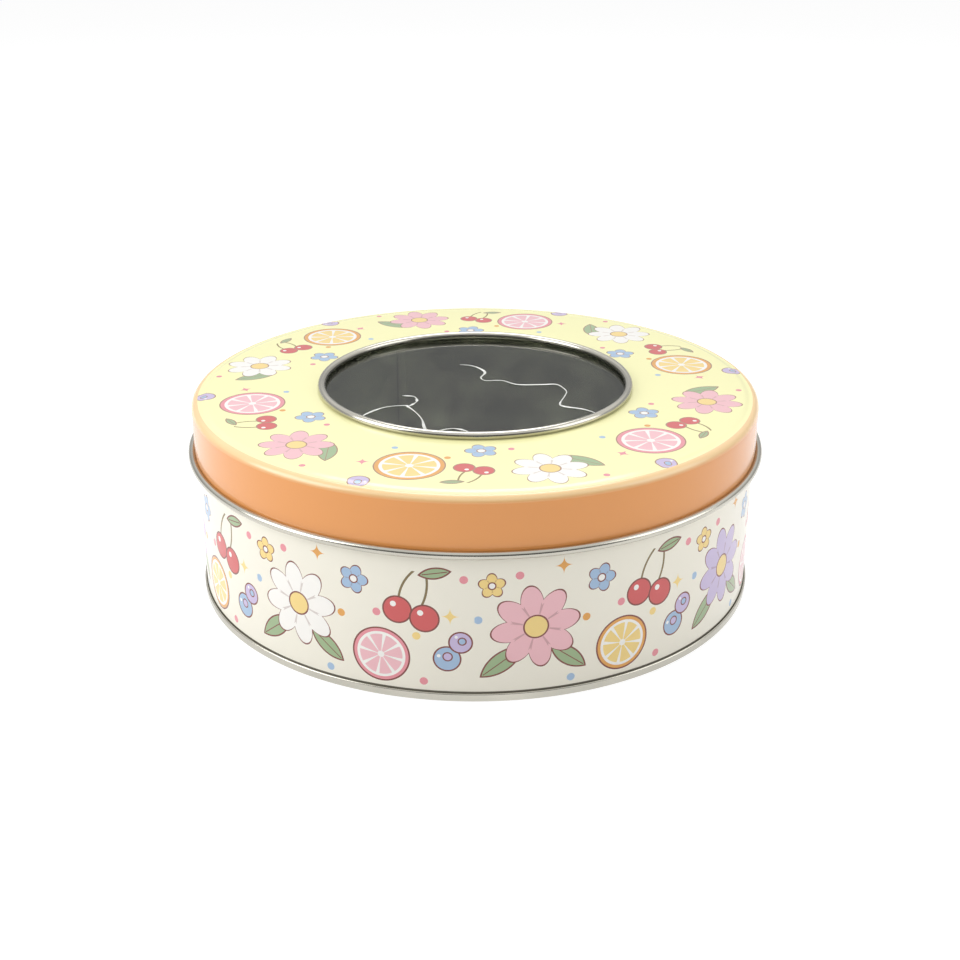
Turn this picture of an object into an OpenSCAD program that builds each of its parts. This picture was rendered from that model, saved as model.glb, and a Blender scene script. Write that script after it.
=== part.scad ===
// Round cookie tin with a window in its slip-over lid.
// A rolled and side-seamed wall, a bottom folded on with a double seam, and a pressed lid
// with a clear pane. Every metal piece is one bent sheet, drawn as the path that it follows.
// Millimetres. +Z is up, the tin's axis is Z, and it stands on z = 0.

/* [Sheet metal] */
// Thickness of the tinplate
sheet = 0.25; // [0.2:0.01:0.3]
// Gap between the cut end of a rolled edge and the sheet that it rolls back to
roll_gap = 0.05; // [0.03:0.01:0.1]

/* [Lid] */
// Outer diameter of the skirt
lid_d = 190; // [150:1:260]
// Height of the lid's top face above the table
tin_h = 66.5; // [50:0.5:160]
// Height of the lid, from its rolled foot to its top face
lid_h = 19.2; // [12:0.1:30]
// Radius of the rounded shoulder, outside
shoulder_r = 2.2; // [1.8:0.1:4]
// Width of the flat ring between the shoulder and the step that stiffens the top face
step_flat = 0.6; // [0.2:0.1:8]
// Drop of the step, from the top face to the flat ring
step_drop = 0.4; // [0.2:0.05:0.8]
// Slope of the step
step_slope = 20; // [12:1:40]
// Diameter of the rolled edge at the skirt's foot
foot_roll_d = 2.5; // [1.8:0.1:3.5]

/* [Window] */
// Clear opening inside the window's rolled edge
window_d = 101.2; // [50:0.2:150]
// Diameter of the window's rolled edge
window_roll_d = 2.6; // [1.8:0.1:3.2]
// Thickness of the clear pane
pane_t = 0.3; // [0.2:0.05:1]
// How far the pane runs under the lid, past the opening
pane_lap = 6.3; // [6:0.1:12]
// Thickness of the glue line
glue_t = 0.1; // [0.05:0.05:0.3]
// Width of the glue line
glue_w = 3.6; // [1:0.1:4]
// Bare margin of the pane outside the glue
glue_margin = 0.9; // [0.3:0.1:1.3]

/* [Wall] */
// Radial gap between the wall and the skirt round it
lid_clearance = 0.4; // [0.25:0.05:0.6]
// Gap left between the wall's rolled rim and the lid that rests on it
seat_gap = 0.15; // [0.05:0.01:0.3]
// Diameter of the rolled rim, turned inwards
rim_roll_d = 2.4; // [1.8:0.1:3]

/* [Side seam] */
// Direction of the folded seam, counted from +X
side_seam_at = 109; // [0:1:359]
// Width of the folded seam
side_seam_w = 3.2; // [2.6:0.1:5]
// Gap between its folded layers
side_seam_gap = 0.03; // [0.02:0.01:0.06]

/* [Bottom seam] */
// Height of the double seam
seam_h = 2.6; // [2.2:0.1:3.4]
// Gap between its folded layers
seam_gap = 0.03; // [0.02:0.01:0.05]
// Radius of the seam's two lower corners, outside
seam_corner_r = 0.45; // [0.4:0.05:0.5]
// Height of the wall's fold above the metal under it, where the sealing compound lies
compound_t = 0.25; // [0.2:0.05:0.4]
// Gap all round the sealing compound
compound_gap = 0.02; // [0.01:0.01:0.03]

/* [Bottom] */
// Height of the bottom's ledge above the table, at its upper face
ledge_h = 3.6; // [3:0.1:8]
// Radius of the turn from the ledge down into the seam
ledge_r = 0.9; // [0.6:0.1:2]
// Width of the ledge, from the wall in to the floor's edge
ledge_w = 9; // [5:0.5:20]
// Drop from the ledge to the floor
floor_drop = 0.8; // [0.3:0.1:1.2]
// Diameter of the stiffening rib in the floor
rib_d = 118; // [20:1:160]
// Height of the rib
rib_h = 0.6; // [0.3:0.1:1]

/* [Hidden] */
$fn = 180;

// Widest step round a bend, in degrees
bend_step = 15;

// Lid
skirt_r = lid_d / 2;
panel_mid_z = tin_h - sheet / 2;
panel_under_z = tin_h - sheet;
corner_x = skirt_r - shoulder_r;
corner_z = tin_h - step_drop - shoulder_r;
step_x = corner_x - step_flat;
foot_mid_r = (foot_roll_d - sheet) / 2;
foot_z = tin_h - lid_h + foot_roll_d / 2;

// Window
window_mid_r = (window_roll_d - sheet) / 2;
window_x = (window_d + window_roll_d) / 2;
pane_r = window_d / 2 + pane_lap;
glue_r = pane_r - glue_margin;

// Wall: its rolled rim lies in the lid's corner, or under its flat rim where the roll is large
wall_r = skirt_r - sheet - lid_clearance;
wall_mid_x = wall_r - sheet / 2;
rim_mid_r = (rim_roll_d - sheet) / 2;
rim_x = wall_r - rim_roll_d / 2;
rim_past_corner = rim_x - corner_x;
seat_reach = shoulder_r - sheet - rim_roll_d / 2 - seat_gap;
rim_z = rim_past_corner > 0
    ? corner_z + sqrt(seat_reach ^ 2 - rim_past_corner ^ 2)
    : panel_under_z - step_drop - seat_gap - rim_roll_d / 2;

// Double seam: five layers, from the bottom's inner wall out to its outer wall
layer = sheet + seam_gap;
inner_wall_x = wall_mid_x - layer;
outer_wall_x = wall_mid_x + 3 * layer;
seam_corner_mid_r = seam_corner_r - sheet / 2;
wall_fold_z = sheet + compound_t + layer + sheet / 2;
end_fold_z = seam_h - layer - sheet / 2;
hook_relief = 0.1;

// Bottom
ledge_mid_z = ledge_h - sheet / 2;
ledge_mid_r = ledge_r - sheet / 2;
floor_x = wall_mid_x - ledge_w;
floor_slope = 45;
rib_slope = 30;

// Side seam, in plan: four layers, and a joggle that goes round the fold and out to the wall
side_layer = sheet + side_seam_gap;
side_fold_x = side_seam_w / 2 - side_layer - sheet / 2;
joggle_slope = 80;
joggle_r = 0.25;
joggle_straight = (3 * side_layer - 2 * joggle_r * (1 - cos(joggle_slope))) / sin(joggle_slope);
joggle_run = 2 * joggle_r * sin(joggle_slope) + joggle_straight * cos(joggle_slope);
joggle_mid_x = side_fold_x + side_layer * (2 - cos(joggle_slope) / 2) / sin(joggle_slope);
joggle_x = joggle_mid_x + joggle_run / 2;
side_margin = 0.4;
side_overlap = 0.5;
side_sink = 0.015;
side_end_gap = 0.5;
side_end_lap = 0.2;
side_cut = joggle_x + side_margin;
side_reach = side_cut + side_overlap;
side_recess = wall_r - sqrt(wall_r ^ 2 - side_reach ^ 2) + side_sink;
side_low_z = ledge_h + side_end_gap;
side_high_z = rim_z - rim_roll_d / 2 - side_end_gap;

// The direction at an angle, as a vector
function aim(angle) = [cos(angle), sin(angle)];

// Points along an arc, from one angle to another
function arc(centre, radius, from, to) =
    let (count = ceil(abs(to - from) / bend_step))
    [for (i = [0 : count]) centre + radius * aim(from + (to - from) * i / count)];

// Points round a bend that starts at a point: each is [x, y, heading], and left turns are positive
function bend(at, heading, turn, radius) =
    let (
        side = sign(turn),
        centre = at + side * radius * aim(heading + 90),
        count = ceil(abs(turn) / bend_step)
    )
    [for (i = [1 : count])
        let (now = heading + turn * i / count)
        concat(centre - side * radius * aim(now + 90), now)];

// The middle line of a bent sheet. A step is [run, turn, radius]: straight on, then a bend
function middle_line(steps, at, heading, i = 0) =
    i == len(steps) ? [] :
    let (
        run = steps[i][0],
        turn = steps[i][1],
        corner = at + run * aim(heading),
        straight = run > 0 ? [concat(corner, heading)] : [],
        bent = turn == 0 ? [] : bend(corner, heading, turn, steps[i][2]),
        last = len(bent) - 1,
        end = turn == 0 ? corner : [bent[last].x, bent[last].y]
    )
    concat(straight, bent, middle_line(steps, end, heading + turn, i + 1));

// A bent sheet seen edge on: its middle line with half the sheet on each side
module sheet_section(steps, at, heading) {
    line = concat([concat(at, heading)], middle_line(steps, at, heading));
    one_side = [for (p = line) [p.x, p.y] + sheet / 2 * aim(p[2] + 90)];
    other_side = [for (i = [len(line) - 1 : -1 : 0])
        [line[i].x, line[i].y] - sheet / 2 * aim(line[i][2] + 90)];
    polygon(concat(one_side, other_side));
}

// How far a rolled edge turns before its cut end meets the sheet it comes from
function roll_turn(roll_d) = 360 - acos((roll_d / 2 - sheet - roll_gap) / (roll_d / 2));

// A step of the sheet to one side, made of two equal and opposite bends after a straight run
function jog(run, turn, shift) =
    let (radius = shift / (2 * (1 - cos(turn))))
    [[run, turn, radius], [0, -turn, radius]];

// How far forward such a step takes the sheet
function jog_run(turn, shift) = shift * sin(turn) / (1 - cos(turn));

// The lid, from the cut end of the window's roll out to the cut end of the foot's roll
module lid_section() {
    window_turn = roll_turn(window_roll_d);
    window_centre = [window_x, panel_mid_z + window_mid_r];
    start = window_centre + window_mid_r * aim(270 - window_turn);
    panel_run = step_x - jog_run(step_slope, step_drop) - window_x;
    steps = concat(
        [[0, window_turn, window_mid_r]],
        jog(panel_run, -step_slope, step_drop),
        [
            [step_flat, -90, shoulder_r - sheet / 2],
            [corner_z - foot_z, roll_turn(foot_roll_d), foot_mid_r]
        ]
    );
    sheet_section(steps, start, 360 - window_turn);
}

module lid() {
    color("khaki")
        rotate_extrude()
            lid_section();
}

module window_pane() {
    color("lightcyan", 0.4)
        translate([0, 0, panel_under_z - glue_t - pane_t])
            cylinder(h = pane_t, r = pane_r);
}

module pane_adhesive() {
    color("whitesmoke")
        translate([0, 0, panel_under_z - glue_t])
            linear_extrude(glue_t)
                difference() {
                    circle(r = glue_r);
                    circle(r = glue_r - glue_w);
                }
}

// The wall, from its hook in the double seam up to the cut end of the rolled rim
module wall_section() {
    hook_top = end_fold_z - hook_relief;
    steps = [
        [hook_top - wall_fold_z, -180, layer],
        [rim_z - wall_fold_z, roll_turn(rim_roll_d), rim_mid_r]
    ];
    sheet_section(steps, [wall_mid_x + 2 * layer, hook_top], -90);
}

// The side seam in plan: each edge of the sheet folds round the other, inside the wall
module side_seam_section() {
    outer_y = wall_mid_x - side_recess;
    fold_run = 2 * side_fold_x - hook_relief;
    outer_edge = [
        [side_reach + side_fold_x, -180, side_layer],
        [fold_run, 0, 0]
    ];
    inner_edge = [
        [side_reach - joggle_x, joggle_slope, joggle_r],
        [joggle_straight, -joggle_slope, joggle_r],
        [joggle_x - joggle_run + side_fold_x, -180, side_layer],
        [fold_run, 0, 0]
    ];
    sheet_section(outer_edge, [-side_reach, outer_y], 0);
    sheet_section(inner_edge, [side_reach, outer_y], 180);
}

module body_wall() {
    color("cornsilk") {
        difference() {
            rotate_extrude()
                wall_section();
            rotate([0, 0, side_seam_at - 90])
                translate([-side_cut, 0, side_low_z])
                    cube([2 * side_cut, skirt_r, side_high_z - side_low_z]);
        }
        rotate([0, 0, side_seam_at - 90])
            translate([0, 0, side_low_z - side_end_lap])
                linear_extrude(side_high_z - side_low_z + 2 * side_end_lap)
                    side_seam_section();
    }
}

// The bottom, from its hook in the double seam down, round and in to the middle of the floor
module bottom_section() {
    hook_foot = wall_fold_z + hook_relief;
    floor_in = floor_x - jog_run(floor_slope, floor_drop);
    rib_run = jog_run(rib_slope, rib_h);
    steps = concat(
        [
            [end_fold_z - hook_foot, -180, layer],
            [end_fold_z - seam_corner_r, -90, seam_corner_mid_r],
            [outer_wall_x - inner_wall_x - 2 * seam_corner_mid_r, -90, seam_corner_mid_r],
            [ledge_mid_z - ledge_mid_r - seam_corner_r, 90, ledge_mid_r]
        ],
        jog(inner_wall_x - ledge_mid_r - floor_x, floor_slope, floor_drop),
        jog(floor_in - rib_d / 2 - rib_run, -rib_slope, rib_h),
        jog(0, rib_slope, rib_h),
        [[rib_d / 2 - rib_run, 0, 0]]
    );
    sheet_section(steps, [wall_mid_x + layer, hook_foot], 90);
}

module bottom_end() {
    color("silver")
        rotate_extrude()
            bottom_section();
}

// Sealing compound in the foot of the double seam, under the wall's fold
module seam_compound() {
    low_z = sheet + compound_gap;
    mid_x = wall_mid_x + layer;
    half_w = (outer_wall_x - inner_wall_x - sheet) / 2 - compound_gap;
    corner_r = seam_corner_mid_r - sheet / 2 - compound_gap;
    fold_r = layer + sheet / 2 + compound_gap;
    lip_angle = 40;
    lip_z = wall_fold_z - fold_r * sin(lip_angle);
    corner = [mid_x + half_w - corner_r, low_z + corner_r];
    outer_half = concat(
        arc(corner, corner_r, 270, 360),
        [[mid_x + half_w, lip_z]],
        arc([mid_x, wall_fold_z], fold_r, 360 - lip_angle, 270)
    );
    inner_half = [for (i = [len(outer_half) - 1 : -1 : 0]) [2 * mid_x - outer_half[i].x, outer_half[i].y]];
    color("dimgray")
        rotate_extrude()
            polygon(concat(outer_half, inner_half));
}

body_wall();
bottom_end();
seam_compound();
lid();
window_pane();
pane_adhesive();
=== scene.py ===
import bmesh
import bpy
import numpy as np
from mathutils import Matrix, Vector


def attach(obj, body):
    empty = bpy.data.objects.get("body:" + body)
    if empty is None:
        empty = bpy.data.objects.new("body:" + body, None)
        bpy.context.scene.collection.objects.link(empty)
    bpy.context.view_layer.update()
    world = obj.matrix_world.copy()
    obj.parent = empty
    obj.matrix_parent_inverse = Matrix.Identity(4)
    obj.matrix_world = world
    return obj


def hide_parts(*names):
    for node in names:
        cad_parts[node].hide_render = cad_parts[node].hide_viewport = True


# A low round cookie tin of printed sheet metal, 190 mm across, with its window lid on.
# Metres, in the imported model's frame: Z is up the tin's axis, and -Y faces the viewer.
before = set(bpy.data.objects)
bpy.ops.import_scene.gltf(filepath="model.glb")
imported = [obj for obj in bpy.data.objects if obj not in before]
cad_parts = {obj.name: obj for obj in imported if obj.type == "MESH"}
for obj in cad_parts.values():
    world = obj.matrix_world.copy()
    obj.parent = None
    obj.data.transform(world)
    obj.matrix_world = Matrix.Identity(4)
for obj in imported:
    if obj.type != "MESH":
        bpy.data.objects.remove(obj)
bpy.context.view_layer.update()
scene = bpy.context.scene
scene.view_settings.view_transform = "Standard"

# The view: about half a metre in front of the tin, looking down on the lid at a shallow
# angle through a slightly long lens, so that the ellipses have the photographed widths.
mm = 0.001
view_lens = 52.0
film_width = 36.0
view_down = np.radians(23.12)
view_distance = 485.4 * mm
view_target = np.array([1.6, 0, 30.74]) * mm
view_ahead = np.array([0, np.cos(view_down), -np.sin(view_down)])
camera_data = bpy.data.cameras.new("camera")
camera_data.sensor_width = film_width
camera_data.lens = view_lens
camera_data.clip_start = 10 * mm
camera = bpy.data.objects.new("camera", camera_data)
camera.location = view_target - view_distance * view_ahead
camera.rotation_euler = (np.pi / 2 - view_down, 0, 0)
scene.collection.objects.link(camera)
scene.camera = camera


# The table and the studio: a seamless white sweep, a large soft light at each side and one above,
# and a room that is darker low down and towards the viewer, which is what the bright metal mirrors.
class Term:
    """One socket of a node tree. Arithmetic on terms adds the Math nodes that work it out."""

    def __init__(self, tree, socket=None):
        self.tree = tree
        self.socket = socket

    def node(self, kind, settings=None, values=None, output=0):
        """Adds a node: first its settings or ramp stops, then the values or links of its sockets."""
        made = self.tree.nodes.new(kind)
        for name, setting in (settings or {}).items():
            if name == "stops":
                for element, (place, colour) in zip(made.color_ramp.elements, setting):
                    element.position = place
                    element.color = colour
            else:
                setattr(made, name, setting)
        for name, value in (values or {}).items():
            if isinstance(value, Term):
                self.tree.links.new(value.socket, made.inputs[name])
            else:
                made.inputs[name].default_value = value
        return Term(self.tree, made.outputs[output])

    def maths(self, operation, *others, clamp=False):
        """A Math node on this term and up to two others."""
        values = dict(enumerate((self, *others)))
        return self.node("ShaderNodeMath", {"operation": operation, "use_clamp": clamp}, values)

    def clamped(self):
        """This term, kept between 0 and 1."""
        return self.maths("ADD", 0, clamp=True)

    def length(self):
        """How long this vector is."""
        return self.node("ShaderNodeVectorMath", {"operation": "LENGTH"}, {0: self}, 1)

    def distance(self, point):
        """How far this place is from a point."""
        return self.node("ShaderNodeVectorMath", {"operation": "DISTANCE"}, {0: self, 1: point}, 1)

    def axes(self):
        """This vector's three numbers."""
        split = self.node("ShaderNodeSeparateXYZ", {}, {0: self}).socket.node
        return [Term(self.tree, output) for output in split.outputs]

    def near(self, value, reach):
        """1 where this is no further than the reach from the value, and 0 elsewhere."""
        return self.maths("COMPARE", value, reach)

    def mix(self, mask, base, over):
        """One colour where the mask is 0, and another where it is 1."""
        return self.node("ShaderNodeMix", {"data_type": "RGBA"}, {0: mask, 6: base, 7: over}, 2)

    def tint(self, mask, colour):
        """This colour, with another laid over it where the mask is 1."""
        return self.mix(mask, self, colour)

    def __add__(self, other):
        return self.maths("ADD", other)

    def __sub__(self, other):
        return self.maths("SUBTRACT", other)

    def __rsub__(self, other):
        return self.node("ShaderNodeMath", {"operation": "SUBTRACT"}, {0: other, 1: self})

    def __mul__(self, other):
        return self.maths("MULTIPLY", other)

    def __truediv__(self, other):
        return self.maths("DIVIDE", other)

    def __rtruediv__(self, other):
        return self.node("ShaderNodeMath", {"operation": "DIVIDE"}, {0: other, 1: self})

    def __lt__(self, other):
        return self.maths("LESS_THAN", other)

    def __gt__(self, other):
        return self.maths("GREATER_THAN", other)

    __radd__ = __add__
    __rmul__ = __mul__


def ink(red, green, blue):
    """A colour written as screen values of 0 to 255, as the linear colour that a socket takes."""
    screen = np.array([red, green, blue]) / 255
    linear = np.where(screen < 0.04045, screen / 12.92, ((screen + 0.055) / 1.055) ** 2.4)
    return (*linear.tolist(), 1)


def grey(level):
    """A neutral colour of a linear strength."""
    return (level, level, level, 1)


def new_material(name):
    """A material with its shader, and a term to start its node maths from."""
    material = bpy.data.materials.new(name)
    material.use_nodes = True
    shader = material.node_tree.nodes["Principled BSDF"]
    return material, shader, Term(material.node_tree)


def feed(term, shader, socket):
    """Links a term to a socket of the shader."""
    term.tree.links.new(term.socket, shader.inputs[socket])


def ray_is(nodes, *kinds):
    """1 for a ray of any of these kinds, and 0 for the rest."""
    found = nodes.node("ShaderNodeLightPath", output=kinds[0])
    for kind in kinds[1:]:
        found = found.maths("MAXIMUM", nodes.node("ShaderNodeLightPath", output=kind))
    return found


table_size = 14
table_glow = 0.78
table_shade = 0.42
table_data = bpy.data.meshes.new("table")
table_corners = np.array([(-1, -1, 0), (1, -1, 0), (1, 1, 0), (-1, 1, 0)]) * table_size / 2
table_data.from_pydata(table_corners.tolist(), [], [(0, 1, 2, 3)])
table = bpy.data.objects.new("table", table_data)
scene.collection.objects.link(table)
table_material, table_shader, nodes = new_material("white_sweep")
table_shader.inputs["Base Color"].default_value = ink(238, 238, 238)
table_shader.inputs["Roughness"].default_value = 0.8
seen = ray_is(nodes, "Is Camera Ray", "Is Glossy Ray", "Is Transmission Ray")
glow = nodes.node("ShaderNodeEmission", {}, {"Color": grey(1), "Strength": table_glow})
matte = nodes.node("ShaderNodeBsdfDiffuse", {}, {"Color": grey(table_shade)})
lit = nodes.node("ShaderNodeAddShader", {}, {0: glow, 1: matte})
plain = Term(nodes.tree, table_shader.outputs[0])
shown = nodes.node("ShaderNodeMixShader", {}, {0: seen, 1: plain, 2: lit})
nodes.tree.links.new(shown.socket, nodes.tree.nodes["Material Output"].inputs[0])
table_data.materials.append(table_material)

# The room darkens low down, and more towards the viewer below a second height. Heights and
# distances here are those of a direction of length 1, and each slope says how fast a part fades.
low_below = 0.45
low_slope = -7
low_level = 0.55
front_from = 0.1
front_slope = -1.2
front_below = 0.8
front_height_slope = -2.5
front_level = 0.06
fill_level = 0.46
room = bpy.data.worlds.new("room")
scene.world = room
room.use_nodes = True
nodes = Term(room.node_tree)
direction = nodes.node("ShaderNodeTexCoord", output="Generated")
_, ahead, up = direction.axes()
low = ((up - low_below) * low_slope).clamped()
front = (ahead * front_slope - front_from).clamped() * ((up - front_below) * front_height_slope).clamped()
mirrored = nodes.mix(low, grey(1), grey(low_level)).tint(front, grey(front_level))
around = nodes.mix(ray_is(nodes, "Is Glossy Ray"), grey(fill_level), mirrored)
around = around.tint(ray_is(nodes, "Is Camera Ray", "Is Transmission Ray"), grey(1))
feed(around, room.node_tree.nodes["Background"], "Color")


def soft_light(name, place, aim_at, size, power):
    """A square area light, turned so that it faces a point."""
    data = bpy.data.lights.new(name, "AREA")
    data.size = size
    data.energy = power
    lamp = bpy.data.objects.new(name, data)
    lamp.location = place
    toward = Vector(aim_at) - Vector(place)
    lamp.rotation_euler = toward.to_track_quat("-Z", "Y").to_euler()
    scene.collection.objects.link(lamp)


soft_light("light_left", (-0.85, -0.25, 0.55), aim_at=(0, 0, 0.03), size=0.7, power=5.2)
soft_light("light_right", (0.9, -0.2, 0.5), aim_at=(0, 0, 0.03), size=0.7, power=2.5)
soft_light("light_top", (0, 0.6, 1.2), aim_at=(0, 0, 0.05), size=0.8, power=7.4)

# The wall: one strip of tinplate, printed outside, rolled round and joined by a folded side seam.
# Its foot is hooked into the bottom's double seam, and its top edge is rolled inwards.
# Sizes from here on are in millimetres, but the grain and waves of a finish are in metres.
sheet = 0.25
roll_gap = 0.05
bend_step = 9
round_count = 320
join_within = 1e-7
sharp_from = 40
skirt_r = 95
tin_h = 66.5
shoulder_r = 2.2
step_drop = 0.4
corner_x = skirt_r - shoulder_r
corner_z = tin_h - step_drop - shoulder_r
lid_clearance = 0.4
seat_gap = 0.15
wall_r = skirt_r - sheet - lid_clearance
wall_mid_x = wall_r - sheet / 2
seam_h = 2.6
seam_gap = 0.03
compound_t = 0.25
hook_relief = 0.1
layer = sheet + seam_gap
wall_fold_z = sheet + compound_t + layer + sheet / 2
end_fold_z = seam_h - layer - sheet / 2
rim_roll_d = 2.4
rim_x = wall_r - rim_roll_d / 2
seat_reach = shoulder_r - sheet - rim_roll_d / 2 - seat_gap
rim_z = corner_z + np.sqrt(seat_reach ** 2 - (rim_x - corner_x) ** 2)
first_row_z = 5
row_step = 20


def aim(angle):
    """The direction at an angle in degrees, in the section's plane."""
    return np.stack([np.cos(np.radians(angle)), np.sin(np.radians(angle))], -1)


def bent_sheet(start, heading, steps):
    """The outline of a bent sheet seen edge on. A step is (run, turn, radius): straight on, then
    round an arc whose centre lies a radius to one side. The two faces are the middle line moved
    half a thickness to its left and to its right, and the outline is one and then the other."""
    place = np.array(start, float)
    places = [place[None]]
    headings = [np.array([heading], float)]
    for run, turn, radius in steps:
        if run > 0:
            place = place + run * aim(heading)
            places.append(place[None])
            headings.append(np.array([heading], float))
        if turn:
            side = np.sign(turn)
            count = int(np.ceil(abs(turn) / bend_step))
            now = heading + turn * np.arange(1, count + 1) / count
            arc = place + side * radius * aim(heading + 90) - side * radius * aim(now + 90)
            places.append(arc)
            headings.append(now)
            place = arc[-1]
            heading = heading + turn
    middle = np.concatenate(places)
    left = aim(np.concatenate(headings) + 90) * sheet / 2
    return np.concatenate([middle + left, (middle - left)[::-1]])


def roll_turn(roll_d):
    """How far a rolled edge turns before its cut end meets the sheet that it comes from: a full turn,
    less the angle whose cosine is (radius - sheet - gap) / radius, with the roll's outer radius."""
    return 360 - np.degrees(np.arccos((roll_d / 2 - sheet - roll_gap) / (roll_d / 2)))


def finished_piece(name, points, faces, materials, face_material=None):
    """Puts points in millimetres and faces into a mesh, joins doubled points, and links its object."""
    data = bpy.data.meshes.new(name)
    data.from_pydata((points * mm).tolist(), [], faces.tolist())
    for material in materials:
        data.materials.append(material)
    if face_material is not None:
        data.polygons.foreach_set("material_index", face_material.astype(np.int32))
    work = bmesh.new()
    work.from_mesh(data)
    bmesh.ops.remove_doubles(work, verts=work.verts, dist=join_within)
    work.to_mesh(data)
    work.free()
    data.polygons.foreach_set("use_smooth", np.ones(len(data.polygons), bool))
    data.set_sharp_from_angle(angle=np.radians(sharp_from))
    piece = bpy.data.objects.new(name, data)
    scene.collection.objects.link(piece)
    return piece


def revolved(name, outline, count, materials):
    """A closed outline in (radius, height) carried round the axis: x = r cos a, y = r sin a, z = h.
    Of two materials, the first is on the outline's first half, which is the sheet's left face."""
    angle = 2 * np.pi * np.arange(count) / count
    radius = outline[:, :1]
    height = np.broadcast_to(outline[:, 1:], (len(outline), count))
    points = np.stack([radius * np.cos(angle), radius * np.sin(angle), height], -1).reshape(-1, 3)
    i = np.arange(len(outline))[:, None]
    j = np.arange(count)[None]
    next_i = (i + 1) % len(outline)
    next_j = (j + 1) % count
    faces = np.stack([i * count + j, next_i * count + j, next_i * count + next_j, i * count + next_j], -1)
    other_face = None
    if len(materials) > 1:
        other_face = np.broadcast_to(i >= len(outline) // 2, (len(outline), count)).ravel()
    return finished_piece(name, points, faces.reshape(-1, 4), materials, other_face)


def bare_tin(name, tone, roughness, dulling_and_painted_light):
    """Bright tin coating: a metal with a faint rolling grain and cloudy patches of darker colour. A small
    darkening is a faint duller tone of the tin; a large one is painted light and shade.
    """
    cloud_scale = 42.0
    patch_from = 0.42
    patch_slope = 4.0
    cloud_roughness = 0.16
    grain_scale = 2600.0
    grain_height = 0.0002
    grain_strength = 0.01
    material, shader, nodes = new_material(name)
    place = nodes.node("ShaderNodeTexCoord", output="Object")
    cloud = nodes.node("ShaderNodeTexNoise", {}, {"Vector": place, "Scale": cloud_scale, "Detail": 2.0})
    grain = nodes.node("ShaderNodeTexNoise", {}, {"Vector": place, "Scale": grain_scale, "Detail": 2.0})
    patch = (cloud - patch_from).maths("MULTIPLY", patch_slope, clamp=True)
    patch_dark_tone = np.array(tone) * (1 - dulling_and_painted_light)
    feed(nodes.mix(patch, ink(*patch_dark_tone), ink(*tone)), shader, "Base Color")
    feed(cloud * cloud_roughness + (roughness - cloud_roughness / 2), shader, "Roughness")
    shader.inputs["Metallic"].default_value = 1
    relief = {"Strength": grain_strength, "Distance": grain_height, "Height": grain}
    feed(nodes.node("ShaderNodeBump", {}, relief), shader, "Normal")
    return material


# Inside, the strong patches are painted light and shade, standing in for soft reflections on the inner
# wall.
inner_tin = bare_tin("bare_tin_inside", (226, 228, 214), roughness=0.24, dulling_and_painted_light=0.4)


# The wall's print: every motif is a stock one, a daisy, a citrus slice, cherries, a leaf or a
# berry, set out by formula in cells that repeat round the tin. Each is drawn in millimetres from
# its own middle, in flat colour inside a thin line.
def placed(spot, x, y, turn=0.0):
    """The place on a cell, counted from a motif's centre and turned with it."""
    values = {"Vector": spot, "Location": (x, y, 0), "Rotation": (0, 0, np.radians(turn))}
    return spot.node("ShaderNodeMapping", {"vector_type": "TEXTURE"}, values)


def disc(art, spot, centre, radius, fill, line=None, width=0.5):
    """A filled circle, with an outline where a line colour is given."""
    reach = spot.distance((*centre, 0))
    art = art.tint(reach < radius, fill)
    if line:
        art = art.tint(reach.near(radius, width / 2), line)
    return art


def daisy(art, spot, radius, petals, fill, heart, line, width=0.5):
    """Petals where the distance stays under a radius that swings with |cos(petals * angle / 2)|."""
    notch = 0.34
    heart_share = 0.27
    crease_from = 0.3
    crease_to = 0.8
    crease_w = 0.22
    crease_strength = 0.35
    x, y, _ = spot.axes()
    reach = spot.length()
    swing = (y.maths("ARCTAN2", x) * (petals / 2)).maths("COSINE").maths("ABSOLUTE")
    share = reach / ((swing * notch + (1 - notch)) * radius)
    art = art.tint(share < 1, fill)
    art = art.tint(share.near(1, width / 2 / radius), line)
    crease = (swing < crease_w) * (reach > radius * crease_from) * (share < crease_to)
    art = art.tint(crease * crease_strength, line)
    return disc(art, spot, (0, 0), radius * heart_share, heart, line, width)


def citrus(art, spot, radius, rind, pith, flesh, line, width=0.5):
    """A rind, a pale pith, and segments where cos(8 * angle) and the distance both allow."""
    segments = 8
    pith_share = 0.86
    flesh_share = 0.76
    middle_share = 0.12
    gap_cosine = 0.86
    gap_taper = 0.1
    x, y, _ = spot.axes()
    reach = spot.length()
    wave = (y.maths("ARCTAN2", x) * segments).maths("COSINE")
    art = disc(art, spot, (0, 0), radius, rind, line, width)
    art = art.tint(reach < radius * pith_share, pith)
    within = (reach > radius * middle_share) * (reach < radius * flesh_share)
    return art.tint((wave > reach * (gap_taper / radius) - gap_cosine) * within, flesh)


def leaf(art, spot, half_l, half_w, fill, line, width=0.5):
    """A pointed leaf: the overlap of two circles, with a vein along its middle."""
    rho = (half_l ** 2 + half_w ** 2) / (2 * half_w)
    reach = spot.distance((0, rho - half_w, 0)).maths("MAXIMUM", spot.distance((0, half_w - rho, 0)))
    art = art.tint(reach < rho, fill)
    art = art.tint(reach.near(rho, width / 2), line)
    vein_share = 0.3
    vein = spot.axes()[1].near(0, width * vein_share) * (reach < rho - width)
    return art.tint(vein, line)


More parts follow.
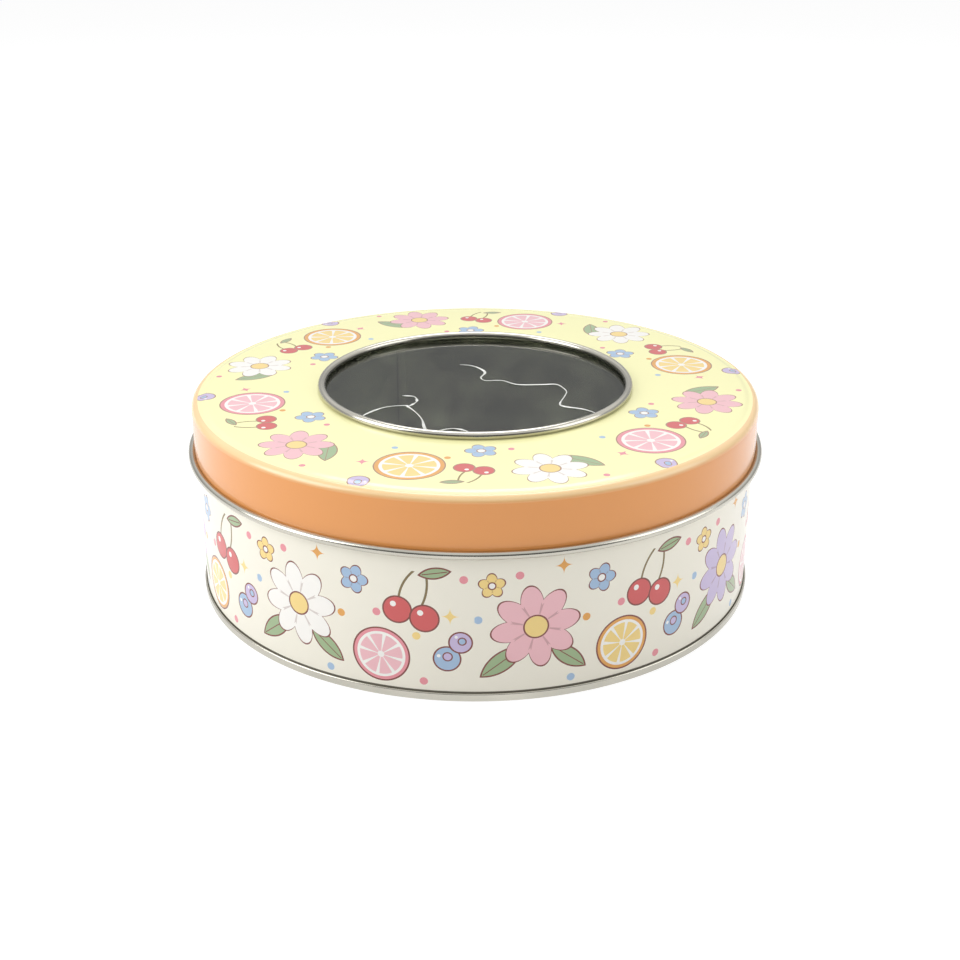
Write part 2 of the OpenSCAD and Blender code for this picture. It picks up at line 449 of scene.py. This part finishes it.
def cherries(art, spot, size, fill, shine, stem, green, line, width=0.5):
    """Two round fruits on two arcs of stem that meet under one leaf. Sizes are shares of the whole."""
    stem_foot = -0.25
    stem_top = 0.62
    stem_half_w = 0.7 * width
    fruit_r = 0.33
    glint_r = 0.07
    glint_x = -0.11
    glint_y = 0.12
    x, y, _ = spot.axes()
    above = (y > stem_foot * size) * (y < stem_top * size)
    left_stem = spot.distance((0.85 * size, -0.1 * size, 0)).near(1.15 * size, stem_half_w)
    right_stem = spot.distance((-1.0 * size, 0.2 * size, 0)).near(1.3 * size, stem_half_w)
    art = art.tint(left_stem * above * (x < 0.2 * size), stem)
    art = art.tint(right_stem * above * (x > 0), stem)
    for fruit_x, fruit_y in ((-0.3, -0.42), (0.34, -0.5)):
        glint = ((fruit_x + glint_x) * size, (fruit_y + glint_y) * size)
        art = disc(art, spot, (fruit_x * size, fruit_y * size), fruit_r * size, fill, line, width)
        art = disc(art, spot, glint, glint_r * size, shine)
    leaf_spot = placed(spot, 0.42 * size, 0.66 * size, 18)
    return leaf(art, leaf_spot, 0.36 * size, 0.13 * size, green, line, width)


def berry(art, spot, radius, fill, crown, line, width=0.5):
    """A round berry with a ringed crown and a small glint."""
    crown_r = 0.34 * radius
    glint_r = 0.14 * radius
    art = disc(art, spot, (0, 0), radius, fill, line, width)
    art = disc(art, spot, (0.1 * radius, 0.15 * radius), crown_r, crown, line, width * 0.8)
    return disc(art, spot, (-0.5 * radius, 0.42 * radius), glint_r, ink(250, 250, 250))


def sparkle(art, spot, radius, fill):
    """A four-pointed glint: |x| ^ 0.5 + |y| ^ 0.5 stays under a limit."""
    x, y, _ = spot.axes()
    reach = x.maths("ABSOLUTE").maths("SQRT") + y.maths("ABSOLUTE").maths("SQRT")
    return art.tint(reach < radius ** 0.5, fill)


def dots(art, spot, radius, places):
    """Plain round dots, each given as (x, y, colour)."""
    for x, y, colour in places:
        art = disc(art, spot, (x, y), radius, colour)
    return art


def cells(angle, count):
    """The number of the cell that an angle lies in, and the angle from that cell's middle."""
    turns = angle * (count / (2 * np.pi))
    number = turns.maths("FLOOR")
    return number, (turns - number - 0.5) * (2 * np.pi / count)


def varnish(shader, nodes, place, coat):
    """The stoved varnish over the print: gloss with a faint unevenness."""
    wave_scale = 320.0
    wave_height = 0.00005
    wave_strength = 0.02
    wave_roughness = 0.05
    least_roughness = 0.22
    wave = nodes.node("ShaderNodeTexNoise", {}, {"Vector": place, "Scale": wave_scale, "Detail": 2.0})
    feed(wave * wave_roughness + least_roughness, shader, "Roughness")
    relief = {"Strength": wave_strength, "Distance": wave_height, "Height": wave}
    feed(nodes.node("ShaderNodeBump", {}, relief), shader, "Normal")
    shader.inputs["Coat Weight"].default_value = coat
    shader.inputs["Coat Roughness"].default_value = 0.08


body_cells = 8
print_top_z = 61.5
groove_z = 3.05
side_seam_at = 109
seam_margin = 1.9
seam_edge_x = 0.6
seam_edge_w = 0.09
cream = ink(248, 244, 229)
rose = ink(236, 150, 160)
pink = ink(245, 193, 200)
red = ink(214, 92, 92)
custard = ink(250, 220, 140)
amber = ink(233, 168, 84)
sage = ink(160, 184, 140)
sky = ink(168, 196, 226)
lavender = ink(205, 190, 226)
white = ink(253, 251, 246)
body_line = ink(128, 66, 58)
body_stem = ink(128, 110, 70)
seam_shade = ink(120, 116, 104)
bare_edge = ink(196, 194, 184)
groove_shade = ink(112, 108, 96)
body_print, shader, nodes = new_material("printed_body")
place = nodes.node("ShaderNodeTexCoord", output="Object")
place_mm = nodes.node("ShaderNodeVectorMath", {"operation": "SCALE"}, {0: place, 3: 1 / mm})
x, y, z = place_mm.axes()
number, local = cells(y.maths("ARCTAN2", x), body_cells)
spot = nodes.node("ShaderNodeCombineXYZ", {}, {0: local * wall_r, 1: z, 2: 0})
odd = number.maths("FLOORED_MODULO", 2)
every_third = number.maths("FLOORED_MODULO", 3).near(2, 0.1)
petal = nodes.mix(odd, pink, white).tint(every_third, lavender)
rind = nodes.mix(odd, amber, rose)
flesh = nodes.mix(odd, custard, pink)
art = nodes.mix(0.0, cream, cream)
art = leaf(art, placed(spot, -29, 13, 38), half_l=8, half_w=3, fill=sage, line=body_line)
art = leaf(art, placed(spot, -9, 13, 142), half_l=7, half_w=2.7, fill=sage, line=body_line)
art = daisy(art, placed(spot, -19, 24, 9), 13.5, petals=8, fill=petal, heart=custard, line=body_line)
art = citrus(art, placed(spot, 9, 13.5, 12), 8.8, rind, pith=white, flesh=flesh, line=body_line)
art = cherries(art, placed(spot, 19, 34, -8), 13, red, white, stem=body_stem, green=sage,
               line=body_line)
art = daisy(art, placed(spot, 1, 37, 0), 4.6, petals=5, fill=sky, heart=white, line=body_line, width=0.4)
art = berry(art, placed(spot, 29, 14, 20), 4, fill=sky, crown=lavender, line=body_line)
art = berry(art, placed(spot, 33, 19.5, -15), 3.4, fill=lavender, crown=sky, line=body_line)
art = daisy(art, placed(spot, -32, 38, 20), 4, petals=5, fill=custard, heart=white, line=body_line,
            width=0.4)
art = dots(art, spot, 1.25, [
    (-3.5, 25, amber), (34, 40, rose), (20, 21, custard), (-36, 27, sky), (8, 27.5, rose), (-8, 5.5, sky),
    (22, 6, rose), (-24, 41, rose), (-12, 54, sky), (12, 53, rose), (33, 55, amber)])
art = sparkle(art, placed(spot, -11, 43), 3, amber)
art = sparkle(art, placed(spot, 30, 28), 3, custard)

# The print stops short of the side seam's joint and of the top edge, and at the foot a dark band is
# painted in the groove as its shade
across_x, across_y = aim(side_seam_at - 90)
toward_x, toward_y = aim(side_seam_at)
across = x * across_x + y * across_y
at_seam = (x * toward_x + y * toward_y) > 0
art = art.tint(across.near(0, seam_margin) * at_seam, cream)
art = art.tint(across.near(seam_edge_x, seam_edge_w) * at_seam, seam_shade)
art = art.tint(z > print_top_z, bare_edge)
art = art.tint(z < groove_z, groove_shade)
feed(art, shader, "Base Color")
varnish(shader, nodes, place, coat=0.2)

wall_outline = bent_sheet(
    (wall_mid_x + 2 * layer, end_fold_z - hook_relief), -90,
    [(end_fold_z - hook_relief - wall_fold_z, -180, layer),
     (first_row_z - wall_fold_z, 0, 0),
     (row_step, 0, 0),
     (row_step, 0, 0),
     (rim_z - first_row_z - 2 * row_step, roll_turn(rim_roll_d), (rim_roll_d - sheet) / 2)])
wall = revolved("wall", wall_outline, round_count, [inner_tin, body_print])
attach(wall, "tin")
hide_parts("body_wall")

# The side seam: each edge of the strip is folded round the other inside the wall, and the inner
# one steps over the fold by a joggle, so that the seam is four layers of sheet.
side_seam_w = 3.2
side_seam_gap = 0.03
side_layer = sheet + side_seam_gap
side_fold_x = side_seam_w / 2 - side_layer - sheet / 2
side_reach = 3.4
side_sink = 0.015
side_y = wall_mid_x - (wall_r - np.sqrt(wall_r ** 2 - side_reach ** 2)) - side_sink
side_low_z = 3.9
side_top_gap = 1.5
fold_run = 2 * side_fold_x - hook_relief
joggle_slope = 80
joggle_r = 0.25
joggle_from_fold = 1.3
joggle_to_fold = 0.6
joggle_rise = 3 * side_layer - 2 * joggle_r * (1 - np.cos(np.radians(joggle_slope)))
joggle_straight = joggle_rise / np.sin(np.radians(joggle_slope))


def face_outwards(piece):
    """Turns every face of a closed piece to its outside."""
    work = bmesh.new()
    work.from_mesh(piece.data)
    bmesh.ops.recalc_face_normals(work, faces=work.faces)
    work.to_mesh(piece.data)
    work.free()


def strip_prism(outline, low, high):
    """The points and faces of a bent sheet's outline in plan, carried from one height to another.
    Each end is closed by quads between the outline's two faces, point k to point count - 1 - k."""
    count = len(outline)
    points = np.concatenate([np.insert(outline, 2, low, 1), np.insert(outline, 2, high, 1)])
    i = np.arange(count)
    next_i = (i + 1) % count
    sides = np.stack([i, next_i, count + next_i, count + i], -1)
    k = np.arange(count // 2 - 1)
    low_end = np.stack([k, count - 1 - k, count - 2 - k, k + 1], -1)
    high_end = np.stack([count + k, count + k + 1, 2 * count - 2 - k, 2 * count - 1 - k], -1)
    return points, np.concatenate([sides, low_end, high_end])


outer_fold = bent_sheet(
    (-side_reach, side_y), 0,
    [(side_reach + side_fold_x, -180, side_layer),
     (fold_run, 0, 0)])
inner_fold = bent_sheet(
    (side_reach, side_y), 180,
    [(side_reach - side_fold_x - joggle_from_fold, joggle_slope, joggle_r),
     (joggle_straight, -joggle_slope, joggle_r),
     (2 * side_fold_x + joggle_to_fold, -180, side_layer),
     (fold_run, 0, 0)])
seam_turn = np.stack([aim(side_seam_at - 90), aim(side_seam_at)])
side_high_z = rim_z - side_top_gap
outer_points, outer_faces = strip_prism(outer_fold @ seam_turn, side_low_z, side_high_z)
inner_points, inner_faces = strip_prism(inner_fold @ seam_turn, side_low_z, side_high_z)
side_points = np.concatenate([outer_points, inner_points])
side_faces = np.concatenate([outer_faces, inner_faces + len(outer_points)])
side_seam = finished_piece("side_seam", side_points, side_faces, [inner_tin])
face_outwards(side_seam)
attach(side_seam, "tin")
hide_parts("body_wall")

# The bottom: a pressed disc of bare tinplate with a stiffening rib. Its rim is folded over the
# wall's foot and pressed flat, and the tin stands on the rounded ring of that double seam.
seam_corner_r = 0.45
ledge_h = 3.6
ledge_r = 0.9
ledge_w = 9
floor_drop = 0.8
floor_slope = 45
rib_r = 59
rib_h = 0.6
rib_slope = 30
inner_floor_r = 30
inner_wall_x = wall_mid_x - layer
outer_wall_x = wall_mid_x + 3 * layer
corner_mid_r = seam_corner_r - sheet / 2
ledge_mid_z = ledge_h - sheet / 2
ledge_mid_r = ledge_r - sheet / 2
floor_x = wall_mid_x - ledge_w
hook_foot = wall_fold_z + hook_relief


def jog(run, turn, shift):
    """A straight run and then a step to one side, made of two equal and opposite bends."""
    radius = shift / (2 * (1 - np.cos(np.radians(turn))))
    return [(run, turn, radius), (0, -turn, radius)]


def jog_run(turn, shift):
    """How far forward such a step takes the sheet: shift * sin(turn) / (1 - cos(turn))."""
    return shift * np.sin(np.radians(turn)) / (1 - np.cos(np.radians(turn)))


bright_tin = bare_tin("bare_tin_outside", (198, 195, 184), roughness=0.17, dulling_and_painted_light=0.05)
rib_run = jog_run(rib_slope, rib_h)
bottom_outline = bent_sheet(
    (wall_mid_x + layer, hook_foot), 90,
    [(end_fold_z - hook_foot, -180, layer),
     (end_fold_z - seam_corner_r, -90, corner_mid_r),
     (outer_wall_x - inner_wall_x - 2 * corner_mid_r, -90, corner_mid_r),
     (ledge_mid_z - ledge_mid_r - seam_corner_r, 90, ledge_mid_r),
     *jog(inner_wall_x - ledge_mid_r - floor_x, floor_slope, floor_drop),
     *jog(floor_x - jog_run(floor_slope, floor_drop) - rib_r - rib_run, -rib_slope, rib_h),
     *jog(0, rib_slope, rib_h),
     (rib_r - rib_run - inner_floor_r, 0, 0),
     (inner_floor_r, 0, 0)])
bottom_outline[:, 0] = np.maximum(bottom_outline[:, 0], 0)
bottom = revolved("bottom", bottom_outline, round_count, [bright_tin])
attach(bottom, "tin")
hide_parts("bottom_end")


# The sealing compound: a soft grey rubber bead, flowed wet into the foot of the double seam and
# dried there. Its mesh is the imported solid's own, which only takes this material.
def mottled(name, scale, detail, darker, lighter, roughness):
    """A plain material whose colour wanders between two shades, and whose roughness follows it."""
    material, shader, nodes = new_material(name)
    place = nodes.node("ShaderNodeTexCoord", output="Object")
    mottle_roughness = 0.2
    mottle = nodes.node("ShaderNodeTexNoise", {}, {"Vector": place, "Scale": scale, "Detail": detail})
    shade = nodes.node("ShaderNodeValToRGB", {"stops": [(0.3, darker), (0.7, lighter)]}, {0: mottle})
    feed(shade, shader, "Base Color")
    feed(mottle * mottle_roughness + roughness, shader, "Roughness")
    return material


compound = mottled("sealing_compound", 900.0, 3.0, ink(78, 78, 80), ink(104, 104, 106), roughness=0.5)
compound_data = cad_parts["seam_compound"].data
compound_data.materials.clear()
compound_data.materials.append(compound)

# The lid: one pressed and printed sheet. The window's edge and the skirt's foot are both rolled
# outwards, so that each roll shows the sheet's bare back.
window_d = 101.2
window_roll_d = 2.6
window_mid_r = (window_roll_d - sheet) / 2
window_x = (window_d + window_roll_d) / 2
window_turn = roll_turn(window_roll_d)
lid_h = 19.2
step_flat = 0.6
step_slope = 20
panel_mid_z = tin_h - sheet / 2
step_x = corner_x - step_flat
panel_run = step_x - jog_run(step_slope, step_drop) - window_x
foot_roll_d = 2.5
foot_mid_r = (foot_roll_d - sheet) / 2
foot_z = tin_h - lid_h + foot_roll_d / 2

# A short straight row next to a long one keeps the smooth shading of a bend off the flat
bend_row = 2
lid_start = np.array([window_x, panel_mid_z + window_mid_r]) + window_mid_r * aim(270 - window_turn)
lid_outline = bent_sheet(
    lid_start, 360 - window_turn,
    [(0, window_turn, window_mid_r),
     (bend_row, 0, 0),
     *jog(panel_run - bend_row, -step_slope, step_drop),
     (step_flat, -90, shoulder_r - sheet / 2),
     (bend_row, 0, 0),
     (corner_z - foot_z - bend_row, roll_turn(foot_roll_d), foot_mid_r)])

lid_cells = 6
painted_highlight_from = 92.9
orange_from = corner_z + 1.2
orange_slope = 0.8
lid_line = ink(168, 132, 108)
lid_stem = ink(150, 130, 80)
panel_yellow = ink(255, 252, 190)
shoulder_painted_highlight = ink(253, 216, 160)
orange = ink(237, 158, 82)
lid_print, shader, nodes = new_material("printed_lid")
place = nodes.node("ShaderNodeTexCoord", output="Object")
place_mm = nodes.node("ShaderNodeVectorMath", {"operation": "SCALE"}, {0: place, 3: 1 / mm})
x, y, z = place_mm.axes()
radius = nodes.node("ShaderNodeCombineXYZ", {}, {0: x, 1: y, 2: 0}).length()
number, local = cells(y.maths("ARCTAN2", x), lid_cells)
sideways = radius * local.maths("SINE") * -1
outward = radius * local.maths("COSINE")
spot = nodes.node("ShaderNodeCombineXYZ", {}, {0: sideways, 1: outward, 2: 0})
odd = number.maths("FLOORED_MODULO", 2)
petal = nodes.mix(odd, white, pink)
rind = nodes.mix(odd, amber, rose)
flesh = nodes.mix(odd, custard, pink)
art = nodes.mix(0.0, panel_yellow, panel_yellow)
art = leaf(art, placed(spot, -31.5, 69, 150), half_l=7.5, half_w=2.9, fill=sage, line=lid_line, width=0.4)
art = daisy(art, placed(spot, -22, 75, 15), 11.5, petals=8, fill=petal, heart=custard, line=lid_line,
            width=0.4)
art = citrus(art, placed(spot, 19, 73, 10), 10.5, rind, pith=white, flesh=flesh, line=lid_line, width=0.4)
art = daisy(art, placed(spot, -2, 61.5, 0), 5, petals=5, fill=sky, heart=white, line=lid_line, width=0.35)
art = cherries(art, placed(spot, 1, 80, -14), 9.5, red, white, stem=lid_stem, green=sage,
               line=lid_line, width=0.4)
art = berry(art, placed(spot, 33, 84, 20), 3.2, fill=lavender, crown=sky, line=lid_line, width=0.4)
art = dots(art, spot, 1.0, [(-11, 60, rose), (24, 59, sky), (-38, 80, rose), (8, 67, amber)])
art = sparkle(art, placed(spot, 33, 70), 2.6, rose)
# Over the round shoulder a pale orange is painted as its highlight, and it fades into the skirt's orange
# print lower down.
art = art.tint(radius > painted_highlight_from, shoulder_painted_highlight)
art = art.tint((orange_from - z).maths("MULTIPLY", orange_slope, clamp=True), orange)
feed(art, shader, "Base Color")
varnish(shader, nodes, place, coat=0.45)

lid = revolved("lid_shell", lid_outline, round_count, [lid_print, bright_tin])
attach(lid, "lid")
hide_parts("lid")

# The pane: a disc of clear plastic sheet, glued under the window's edge. It lets light straight
# through and mirrors more of the room the flatter it is seen.
glue_t = 0.1
pane_t = 0.3
pane_lap = 6.3
pane_edge = 0.05
pane_count = 256
pane_mirror = 0.8
pane_roughness = 0.03
pane_ior = 1.45
pane_tint = (0.93, 0.95, 0.93, 1)
pane_top = tin_h - sheet - glue_t
pane_foot = pane_top - pane_t
pane_r = window_d / 2 + pane_lap
clear_sheet, shader, nodes = new_material("clear_sheet")
clear = nodes.node("ShaderNodeBsdfTransparent", {}, {"Color": pane_tint})
gloss = nodes.node("ShaderNodeBsdfGlossy", {}, {"Color": grey(1), "Roughness": pane_roughness})
edge = nodes.node("ShaderNodeFresnel", {}, {"IOR": pane_ior})
upper_face = 1 - nodes.node("ShaderNodeNewGeometry", output="Backfacing")
pane_look = nodes.node("ShaderNodeMixShader", {}, {0: edge * upper_face * pane_mirror, 1: clear, 2: gloss})
nodes.tree.links.new(pane_look.socket, nodes.tree.nodes["Material Output"].inputs[0])
pane_outline = np.array([(0, pane_top), (pane_r - pane_edge, pane_top), (pane_r, pane_top - pane_edge),
                         (pane_r, pane_foot + pane_edge), (pane_r - pane_edge, pane_foot), (0, pane_foot)])
pane = revolved("pane", pane_outline, pane_count, [clear_sheet])
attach(pane, "lid")
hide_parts("window_pane")

# Creases of the thin clear film on the pane: narrow raised welts that catch the light. Each
# follows points read off the photograph, in pixels from its upper left corner.
photo_width = 960
crease_pixels = {
    "crease_right": [(460, 365), (471, 366), (480, 369), (485, 373), (481, 378), (486, 381), (502, 381),
                     (518, 385), (543, 385), (557, 385), (566, 391), (565, 396), (560, 404), (565, 407),
                     (585, 410), (605, 417)],
    "crease_left": [(357, 421), (365, 415), (377, 410), (389, 407), (405, 406), (408, 407), (416, 413),
                    (422, 420), (425, 429), (433, 436)],
    "crease_hook": [(408, 407), (414, 404), (417, 401), (414, 397), (402, 396)],
    "crease_front": [(433, 436), (441, 431), (453, 429), (465, 431), (473, 435), (478, 440)],
}
thin_half_w = 0.2
extra_half_w = 0.3
swell_pace = 9
tip_share = 0.02
welt_middle = 0.16
welt_rise = 0.15
welt_sides = 8
rows_per_point = 24


def on_pane(pixels):
    """Where the sight lines through points of the photograph meet the pane's upper face: the
    camera's place, and on from it along each line as far as that height."""
    right, drop = ((np.array(pixels, float) - photo_width / 2) / photo_width * film_width / view_lens).T
    upward = np.array([0, np.sin(view_down), np.cos(view_down)])
    eye = (view_target - view_distance * view_ahead) / mm
    sight = view_ahead + right[:, None] * [1, 0, 0] - drop[:, None] * upward
    return (eye + (pane_top - eye[2]) / sight[:, 2:] * sight)[:, :2]


def smooth_line(points, count):
    """A curve through the points. Each stretch between two is a cubic, whose slope at a point is
    half the way from the point before it to the point after it."""
    padded = np.concatenate([[2 * points[0] - points[1]], points, [2 * points[-1] - points[-2]]])
    short_of_last = 1e-9
    way = np.linspace(0, len(points) - 1 - short_of_last, count)
    k = way.astype(int)
    u = (way - k)[:, None]
    a, b, c, d = padded[k], padded[k + 1], padded[k + 2], padded[k + 3]
    bow = 2 * a - 5 * b + 4 * c - d
    twist = 3 * b - a - 3 * c + d
    return 0.5 * (2 * b + (c - a) * u + bow * u ** 2 + twist * u ** 3)


def welt(line):
    """The points and faces of a low oval tube along a line on the pane. Its half width goes with
    the fourth power of a sine along the line, and with the root of share * (1 - share) at its tips."""
    along = np.gradient(line, axis=0)
    along /= np.linalg.norm(along, axis=1, keepdims=True)
    across = np.stack([-along[:, 1], along[:, 0]], -1)
    share = np.linspace(0, 1, len(line))
    taper = np.sqrt(np.clip(16 * share * (1 - share), tip_share, 1))
    half_w = (thin_half_w + extra_half_w * np.sin(share * swell_pace) ** 4) * taper
    ring = np.radians(np.arange(welt_sides) * 360 / welt_sides)
    offset = half_w[:, None, None] * np.cos(ring)[None, :, None] * across[:, None, :]
    rise = welt_rise * np.sin(ring)[None, :] * np.sqrt(half_w / half_w.max())[:, None]
    height = pane_top + welt_middle + rise
    points = np.concatenate([line[:, None, :] + offset, height[..., None]], -1).reshape(-1, 3)
    i = np.arange(len(line) - 1)[:, None] * welt_sides
    j = np.arange(welt_sides)[None]
    next_j = (j + 1) % welt_sides
    sides = np.stack([i + j, i + next_j, i + welt_sides + next_j, i + welt_sides + j], -1).reshape(-1, 4)
    k = np.arange(welt_sides // 2 - 1)
    first_end = np.stack([k, k + 1, welt_sides - 2 - k, welt_sides - 1 - k], -1)
    last_end = (len(line) - 1) * welt_sides + first_end[:, ::-1]
    return points, np.concatenate([sides, first_end, last_end])


# The creases' near-white colour is a painted highlight, standing in for the light that the clear film's
# folds catch.
crease_painted_highlight = mottled("film_crease_painted_highlight", 400.0, 2.0, ink(214, 216, 210), ink(246, 247, 242), roughness=0.15)
for name, pixels in crease_pixels.items():
    line = smooth_line(on_pane(pixels), rows_per_point * len(pixels))
    crease = finished_piece(name, *welt(line), [crease_painted_highlight])
    face_outwards(crease)
    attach(crease, "lid")

# The glue: a thin milky ring that holds the pane to the lid's underside, laid on as a bead and
# pressed flat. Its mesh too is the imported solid's own.
glue = mottled("pane_glue", 500.0, 2.0, ink(226, 224, 214), ink(240, 238, 230), roughness=0.35)
glue_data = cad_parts["pane_adhesive"].data
glue_data.materials.clear()
glue_data.materials.append(glue)
